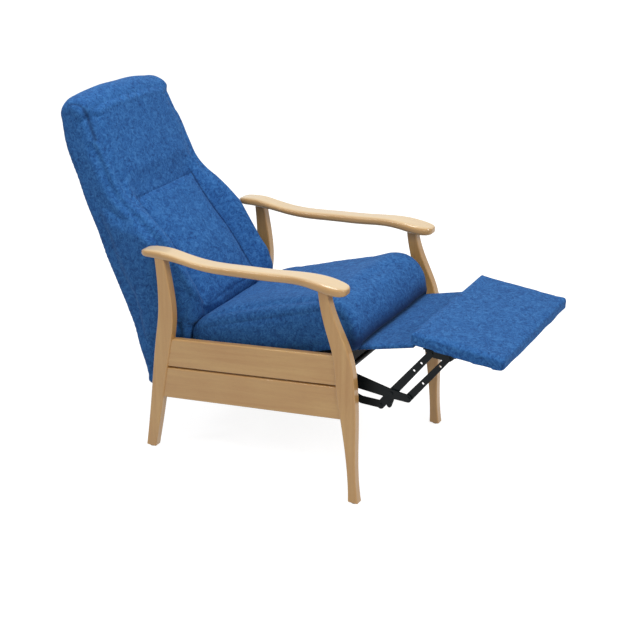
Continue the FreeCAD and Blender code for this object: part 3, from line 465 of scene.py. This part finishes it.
def creased(piece, route, depth, width, tone=0.8, pucker=0.0, spacing=0.016, fade=0.0):
    # Presses a sewn seam or a fold into the surface and paints shade along it: the crease mark darkens the
    # material there, standing in for the shade in the groove. A depth below nought raises a ridge.
    points = coordinates(piece)
    nearest, travelled, total = distanceToRoute(points, laidOn(points, route))
    strength = np.exp(-(nearest / width) ** 2)
    if fade > 0:
        strength *= np.clip(np.minimum(travelled, total - travelled) / fade, 0, 1) ** 0.5
    side = np.exp(-((nearest - 2.2 * width) / (1.6 * width)) ** 2)
    ripple = pucker * side * np.sin(2 * math.pi * travelled / spacing)
    setCoordinates(piece, points + vertexNormals(piece) * (ripple - depth * strength)[:, None])
    marks = piece.data.attributes.get("paintedCreaseShade")
    if marks is None:
        marks = piece.data.attributes.new("paintedCreaseShade", "FLOAT", "POINT")
    before = np.empty(len(points), dtype=np.float32)
    marks.data.foreach_get("value", before)
    # The mark is painted shade, strongest along the route
    paintedShadeBand = tone * np.exp(-(nearest / (0.6 * width)) ** 2) * np.clip(strength * 3, 0, 1)
    marks.data.foreach_set("value", np.maximum(before, paintedShadeBand).astype(np.float32))


def undulated(piece, size, depth, offset):
    # Slow, shallow waves of a stuffed cover
    points = coordinates(piece)
    lift = np.array([noise.noise(Vector(p) / size + Vector(offset)) for p in points])
    setCoordinates(piece, points + vertexNormals(piece) * (lift * depth)[:, None])


def finishedSoft(piece, body, nodeNames):
    piece.data.materials.clear()
    piece.data.materials.append(microfibre)
    selectOnly(piece)
    bpy.ops.object.shade_smooth()
    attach(piece, body)
    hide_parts(*nodeNames)
    print(piece.name, "done,", len(piece.data.polygons), "faces")


seatLook = {
    "voxel": 0.006, "drawnIn": 0.003, "pressure": 4.0, "stiffness": 18.0, "cap": 0.010, "give": 0.0,
    "wadding": 0.002, "waves": (0.085, 0.0024, (3.1, 0.4, 7.7)),
    "skirt": 0.012, "skirtFrom": 0.120, "skirtRun": 0.20, "skirtX": 0.215, "skirtEdge": 0.010,
    "skirtHeight": 0.05, "underside": 0.393, "fall": 0.325,
    "seamX": 243, "seamPress": {"depth": 0.0006, "width": 0.0030, "tone": 0.22, "pucker": 0.0002},
    "sideSeam": [(240, 409), (176, 436), (107, 462), (20, 493), (-62, 522), (-137, 548), (-208, 572),
                 (-253, 585), (-276, 582), (-293, 562), (-310, 534), (-320, 511)],
    "frontHem": (-343, 496), "hemShade": {"depth": 0.0, "width": 0.055, "tone": 0.92},
}


def makeSeat():
    look = seatLook
    piece = mergedCopy("seatCushion", "seat_cushion")
    remeshed(piece, look["voxel"])
    puffed(piece, look)
    undulated(piece, *look["waves"])
    # The cover hangs a little below the seat frame along the front half of both sides
    points = coordinates(piece)
    forward = np.clip((look["skirtFrom"] - points[:, 1]) / look["skirtRun"], 0, 1)
    outer = np.clip((np.abs(points[:, 0]) - look["skirtX"]) / look["skirtEdge"], 0, 1)
    above = points[:, 2] - (look["underside"] - look["fall"] * points[:, 1])
    low = np.clip(1.2 - above / look["skirtHeight"], 0, 1)
    points[:, 2] -= look["skirt"] * forward * outer * low
    setCoordinates(piece, points)
    # The side seams are pressed in and lightly darkened with painted shade
    for side in (-1, 1):
        route = [sidePoint(side * look["seamX"], y, z) for y, z in look["sideSeam"]]
        creased(piece, route, **look["seamPress"])
    # Under its front the cover gets painted shade, a dark wedge above the flap where the seat's front hangs
    # over it
    hem = [sidePoint(side * look["seamX"], *look["frontHem"]) for side in (-1, 1)]
    creased(piece, hem, **look["hemShade"])
    finishedSoft(piece, "seat_unit", ["seat_cushion"])


# The lumbar panel's border on the back, as (y, z) down its sides, and its half width
panelBorder = {
    "x": 157, "top": (491, 772), "sidePress": {"depth": 0.002, "width": 0.004},
    "topPress": {"depth": 0.002, "width": 0.005, "tone": 0.3},
    "side": [(491, 772), (459, 725), (421, 682), (400, 659), (377, 634), (340, 592), (301, 539), (285, 515),
             (268, 492), (252, 471)],
}

backLook = {
    "voxel": 0.0064, "drawnIn": 0.004, "pressure": 4.0, "stiffness": 18.0, "cap": 0.012, "give": 0.001,
    "wadding": 0.004, "waves": (0.09, 0.0026, (1.7, 5.2, 0.3)),
    "fold": [(238, 676, 1060), (228, 658, 1068), (219, 636, 1064), (215, 617, 1050)],
    "foldPress": {"depth": 0.0025, "width": 0.005, "tone": 0.6, "fade": 0.012},
    "pleat": [(216, 622, 1056), (215, 608, 1036), (215, 600, 1010), (214, 591, 985), (213, 580, 960)],
    "pleatDepth": {-1: 0.008, 1: 0.002}, "pleatPress": {"width": 0.012, "tone": 0.6, "fade": 0.04},
    "ridgeX": 214, "ridgePress": {"depth": -0.004, "width": 0.011, "tone": 0.0, "fade": 0.02},
    "ridge": [(580, 960), (546, 890), (512, 822), (467, 777), (434, 757), (389, 722), (342, 680),
              (297, 612), (259, 556), (230, 508)],
    "hollowX": 236, "hollowBack": 10,
    "hollowPress": {"depth": 0.007, "width": 0.014, "tone": 0.0, "fade": 0.03},
    "settle": 0.009, "settleFrom": 0.98, "settleRise": 0.10, "settleWidth": 0.22,
    "rearSeamX": 204, "rearPress": {"depth": 0.002, "width": 0.0035, "tone": 0.6},
    "rearSeam": [(409, 226), (450, 363), (489, 463), (533, 554), (575, 649), (624, 765), (675, 892),
                 (697, 965), (701, 1000)],
}


def makeBack():
    look = backLook
    piece = mergedCopy("backCushion", "back_cushion", "back_rear_panel")
    remeshed(piece, look["voxel"])
    puffed(piece, look)
    undulated(piece, *look["waves"])
    # Folds, pleats, the panel border and the rear seams are pressed in and darkened with painted shade; the
    # ridge and hollow only change the shape
    for side in (-1, 1):
        route = [sidePoint(side * x, y, z) for x, y, z in look["fold"]]
        creased(piece, route, **look["foldPress"])
        route = [sidePoint(side * x, y, z) for x, y, z in look["pleat"]]
        creased(piece, route, look["pleatDepth"][side], **look["pleatPress"])
        # Head and wings end in a ridge at the sides, and the cover falls away steeply behind it
        route = [sidePoint(side * look["ridgeX"], y, z) for y, z in look["ridge"]]
        creased(piece, route, **look["ridgePress"])
        route = [sidePoint(side * look["hollowX"], y + look["hollowBack"], z) for y, z in look["ridge"]]
        creased(piece, route, **look["hollowPress"])
        route = [sidePoint(side * panelBorder["x"], y, z) for y, z in panelBorder["side"]]
        creased(piece, route, **panelBorder["sidePress"])
        route = [sidePoint(side * look["rearSeamX"], y, z) for y, z in look["rearSeam"]]
        creased(piece, route, **look["rearPress"])
    for y, z in (look["rearSeam"][0], look["rearSeam"][-1]):
        ends = [sidePoint(side * look["rearSeamX"], y, z) for side in (-1, 1)]
        creased(piece, ends, **look["rearPress"])
    across = [sidePoint(side * panelBorder["x"], *panelBorder["top"]) for side in (-1, 1)]
    creased(piece, across, **panelBorder["topPress"])
    # The head's filling has settled a little, so its top edge drops towards the sitter's left
    points = coordinates(piece)
    high = np.clip((points[:, 2] - look["settleFrom"]) / look["settleRise"], 0, 1)
    points[:, 2] -= look["settle"] * high * np.clip(points[:, 0] / look["settleWidth"], -1, 1)
    setCoordinates(piece, points)
    finishedSoft(piece, "seat_unit", ["back_cushion", "back_rear_panel"])


lumbarLook = {
    "voxel": 0.0048, "drawnIn": 0.002, "pressure": 3.0, "stiffness": 15.0, "cap": 0.006, "give": 0.001,
    "wadding": 0.002, "waves": (0.07, 0.0022, (9.1, 2.2, 4.3)), "backing": 0.007, "lean": 40,
    "edgeShade": {"depth": 0.0, "width": 0.004},
}


def makeLumbar():
    look = lumbarLook
    piece = mergedCopy("lumbarPanel", "lumbar_cushion")
    # Its rear face is set into the back, so that its thin lower end keeps some body when it is remeshed
    lean = math.radians(look["lean"])
    inwards = np.array([0, math.cos(lean), -math.sin(lean)])
    rear = vertexNormals(piece) @ inwards > 0.3
    setCoordinates(piece, coordinates(piece) + inwards * (look["backing"] * rear)[:, None])
    remeshed(piece, look["voxel"])
    puffed(piece, look)
    undulated(piece, *look["waves"])
    # Its side edges are not pressed but darkened with painted shade where they meet the back
    for side in (-1, 1):
        route = [sidePoint(side * panelBorder["x"], y, z) for y, z in panelBorder["side"]]
        creased(piece, route, **look["edgeShade"])
    finishedSoft(piece, "seat_unit", ["lumbar_cushion"])


footrestLook = {
    "voxel": 0.0045, "drawnIn": 0.001, "pressure": 2.5, "stiffness": 25.0, "cap": 0.003, "give": 0.0005,
    "wadding": 0.001, "waves": (0.06, 0.0014, (4.4, 8.2, 1.9)),
    "slope": 4.4, "innerEdge": (-516.5, 572.0), "length": 281.0, "thickness": 35.5, "halfWidth": 252.0,
    "tuck": 4.0, "tuckRun": 30, "sag": 2.2, "sagPerMetre": 22,
    "corner": 1.5, "cornerFrom": 0.010, "cornerTo": 0.034,
    "cornerPress": {"depth": 0.002, "width": 0.0035, "tone": 0.6, "fade": 0.006},
}


def makeFootrest():
    look = footrestLook
    piece = mergedCopy("footrestPad", "footrest_cushion")
    remeshed(piece, look["voxel"])
    puffed(piece, look)
    undulated(piece, *look["waves"])
    # Towards its free end the cover wraps round the board's lower edge, and the stapled edge waves a little.
    # reach and depth are millimetres outward along the pad and down into it.
    points = coordinates(piece)
    slope = math.radians(look["slope"])
    outward = np.array([0, -math.cos(slope), -math.sin(slope)])
    down = np.array([0, math.sin(slope), -math.cos(slope)])
    start = np.array(sidePoint(0, *look["innerEdge"]))
    reach = (points - start) @ outward / millimetre
    depth = (points - start) @ down / millimetre
    free = np.clip((reach - look["length"] + look["tuckRun"]) / look["tuckRun"], 0, 1) ** 2
    low = np.clip(depth / look["thickness"], 0, 1) ** 2
    pitch = look["sagPerMetre"]
    wave = np.array([noise.noise(Vector((p[0] * pitch, p[1] * pitch, 5.0))) for p in points])
    lift = free * low * look["tuck"] + low * look["sag"] * wave
    setCoordinates(piece, points - down * (lift * millimetre)[:, None])
    # The corner folds are pressed in and darkened with painted shade
    for side in (-1, 1):
        for along in (look["corner"], look["length"] - look["corner"]):
            corner = start + outward * along * millimetre
            corner[0] = side * (look["halfWidth"] - look["corner"]) * millimetre
            route = [tuple(corner + down * look["cornerFrom"]), tuple(corner + down * look["cornerTo"])]
            creased(piece, route, **look["cornerPress"])
    finishedSoft(piece, "footrest", ["footrest_cushion"])


flapLook = {
    "voxel": 0.0032, "drawnIn": 0.0005, "pressure": 1.5, "stiffness": 25.0, "cap": 0.002, "give": 0.0003,
    "wadding": 0.0, "halfWidth": 0.24, "hemShade": {"depth": 0.0, "width": 0.05, "tone": 0.92},
}


def makeFlap():
    look = flapLook
    piece = mergedCopy("bridgeFlap", "flap_cushion")
    remeshed(piece, look["voxel"])
    puffed(piece, look)
    # Its inner end lies deep under the seat's front, so it gets painted shade there
    points = coordinates(piece)
    inner = points[np.argmax(points[:, 1])]
    hem = [(side * look["halfWidth"], inner[1], inner[2]) for side in (-1, 1)]
    creased(piece, hem, **look["hemShade"])
    finishedSoft(piece, "flap", ["flap_cushion"])


makeSeat()
makeBack()
makeLumbar()
makeFootrest()
makeFlap()
print("soft goods made")


# Camera, floor and light

viewFit = {
    "eye": (-3.4507, -1.9409, 2.1622), "right": (0.48830198, -0.87267472, 0.0),
    "up": (0.34781552, 0.19461891, 0.91714112), "lens": 79.25, "sensor": 36.0,
}

studio = {
    "worldStrength": 0.48, "floorTone": 0.5, "floorLift": 0.84, "floorSize": 40,
    "lamps": {
        "overhead": {"position": (-0.5, 0.3, 3.4), "target": (0, -0.1, 0.5), "size": 1.2, "watts": 43,
                     "tint": (1.0, 0.99, 0.97)},
        "front": {"position": (-1.3, -3.9, 3.0), "target": (0, 0, 0.55), "size": 0.9, "watts": 56},
        "nearRear": {"position": (-2.5, 2.1, 2.9), "target": (0, 0, 0.6), "size": 0.7, "watts": 12},
        "nearLow": {"position": (-2.2, -1.6, 0.9), "target": (0, 0, 0.5), "size": 0.7, "watts": 4},
    },
}


def setCamera():
    bpy.ops.object.camera_add(location=viewFit["eye"])
    camera = bpy.context.object
    right = Vector(viewFit["right"]).normalized()
    up = Vector(viewFit["up"]).normalized()
    back = right.cross(up)
    for row in range(3):
        camera.matrix_world[row][0] = right[row]
        camera.matrix_world[row][1] = up[row]
        camera.matrix_world[row][2] = back[row]
    camera.data.lens = viewFit["lens"]
    camera.data.sensor_width = viewFit["sensor"]
    camera.data.clip_end = 60.0
    bpy.context.scene.camera = camera


def seenDirectly(tree):
    # True where the camera, a glossy surface or glass looks at it
    path = addNode(tree, "ShaderNodeLightPath")
    seen = path.outputs["Is Camera Ray"]
    for ray in ("Is Glossy Ray", "Is Transmission Ray"):
        seen = addNode(tree, "ShaderNodeMath", {
            0: seen, 1: path.outputs[ray]}, operation="MAXIMUM").outputs[0]
    return seen


def setWorld():
    world = bpy.data.worlds.new("studio")
    world.use_nodes = True
    tree = world.node_tree
    soft = tree.nodes["Background"]
    soft.inputs["Color"].default_value = (1, 1, 1, 1)
    soft.inputs["Strength"].default_value = studio["worldStrength"]
    white = addNode(tree, "ShaderNodeBackground", {"Color": (1, 1, 1, 1), "Strength": 1.0})
    mixed = addNode(tree, "ShaderNodeMixShader", {
        0: seenDirectly(tree), 1: soft.outputs[0], 2: white.outputs[0]})
    tree.links.new(mixed.outputs[0], tree.nodes["World Output"].inputs["Surface"])
    bpy.context.scene.world = world


def setFloor():
    # A pale matt floor that is lifted to white where it is looked at, so that only the chair's shadow shows
    bpy.ops.mesh.primitive_plane_add(size=studio["floorSize"])
    floor = bpy.context.object
    floor.name = "studioFloor"
    made, tree, shader, _ = newMaterial("paleStudioFloor")
    shader.inputs["Base Color"].default_value = grey(studio["floorTone"])
    shader.inputs["Roughness"].default_value = 0.9
    shader.inputs["Specular IOR Level"].default_value = 0.0
    glow = addNode(tree, "ShaderNodeEmission", {"Color": (1, 1, 1, 1), "Strength": studio["floorLift"]})
    both = addNode(tree, "ShaderNodeAddShader", {0: shader.outputs[0], 1: glow.outputs[0]})
    lift = addNode(tree, "ShaderNodeMixShader", {
        0: seenDirectly(tree), 1: shader.outputs[0], 2: both.outputs[0]})
    tree.links.new(lift.outputs[0], tree.nodes["Material Output"].inputs["Surface"])
    floor.data.materials.append(made)


def areaLamp(name, position, target, size, watts, tint=(1.0, 1.0, 1.0)):
    bpy.ops.object.light_add(type="AREA", location=position)
    lamp = bpy.context.object
    lamp.name = name
    lamp.data.shape = "DISK"
    lamp.data.size = size
    lamp.data.energy = watts
    lamp.data.color = tint
    aim = Vector(target) - Vector(position)
    lamp.rotation_euler = aim.to_track_quat("-Z", "Y").to_euler()


setCamera()
setWorld()
setFloor()
for lampName, lampSettings in studio["lamps"].items():
    areaLamp(lampName, **lampSettings)
print("camera and light set")

bpy.context.scene.view_settings.view_transform = "Standard"
